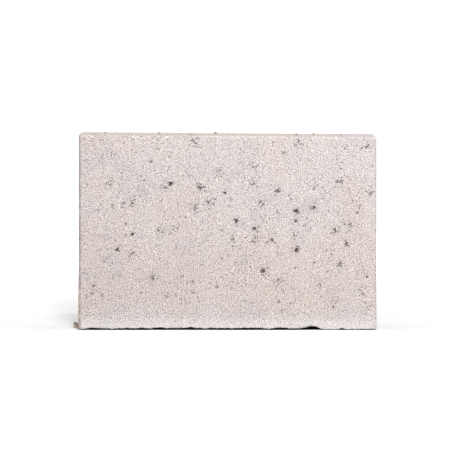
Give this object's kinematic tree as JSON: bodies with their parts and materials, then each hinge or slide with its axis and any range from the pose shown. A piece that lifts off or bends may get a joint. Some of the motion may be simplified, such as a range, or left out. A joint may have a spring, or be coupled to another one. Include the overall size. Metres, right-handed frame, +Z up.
{
  "type": "gymnastics chalk block",
  "caption": "Rectangular cake of pressed grip chalk with pored faces, worn arrises, spalls along the lower edges, and loose grains on top and at one foot.",
  "frame": {"origin": "middle of the flat underside that the block stands on", "axes": "+X along the block's length, +Y through its depth away from the viewer, +Z up"},
  "size_m": [0.078, 0.032, 0.0503],
  "materials": {
    "pressed_chalk": "matte",
    "loose_chalk": "matte"
  },
  "bodies": {
    "root": {"chalk_block": "pressed_chalk", "top_grain_1": "loose_chalk", "top_grain_2": "loose_chalk", "top_grain_3": "loose_chalk", "top_grain_4": "loose_chalk", "top_grain_5": "loose_chalk", "top_grain_6": "loose_chalk", "top_grain_7": "loose_chalk", "top_grain_8": "loose_chalk", "foot_grain_1": "loose_chalk", "foot_grain_2": "loose_chalk", "foot_grain_3": "loose_chalk", "foot_grain_4": "loose_chalk", "foot_grain_5": "loose_chalk", "foot_grain_6": "loose_chalk", "foot_grain_7": "loose_chalk"}
  },
  "joints": []
}
